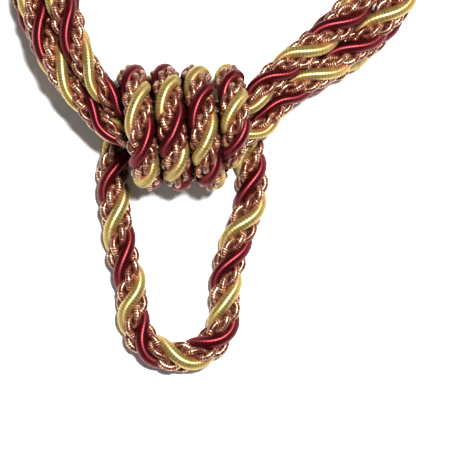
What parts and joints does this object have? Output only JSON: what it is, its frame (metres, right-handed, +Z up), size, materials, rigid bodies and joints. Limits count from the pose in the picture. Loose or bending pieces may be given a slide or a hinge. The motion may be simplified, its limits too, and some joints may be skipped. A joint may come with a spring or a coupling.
{
  "type": "curtain tieback of knotted rope",
  "caption": "Twisted rope tieback: two rope loops, one on the other, make its arms, and a third rope wraps them in a barrel knot and hangs below it as a loop.",
  "frame": {"origin": "on the surface that the tieback lies on, under the middle of the knot", "axes": "+Z up from the surface, +Y from the hanging cord towards the arms, +X along the knot's barrel to the right"},
  "size_m": [0.1378, 0.2472, 0.0372],
  "materials": {
    "loop_rope": "four plies: gold satin, copper and burgundy gimp, burgundy satin, gimp",
    "under_loop_rope": "the same rope as the inner loop",
    "binding_rope": "the same rope, drawn tight in the knot"
  },
  "bodies": {
    "root": {"inner_loop": "loop_rope", "outer_loop": "under_loop_rope", "binding": "binding_rope"}
  },
  "joints": []
}
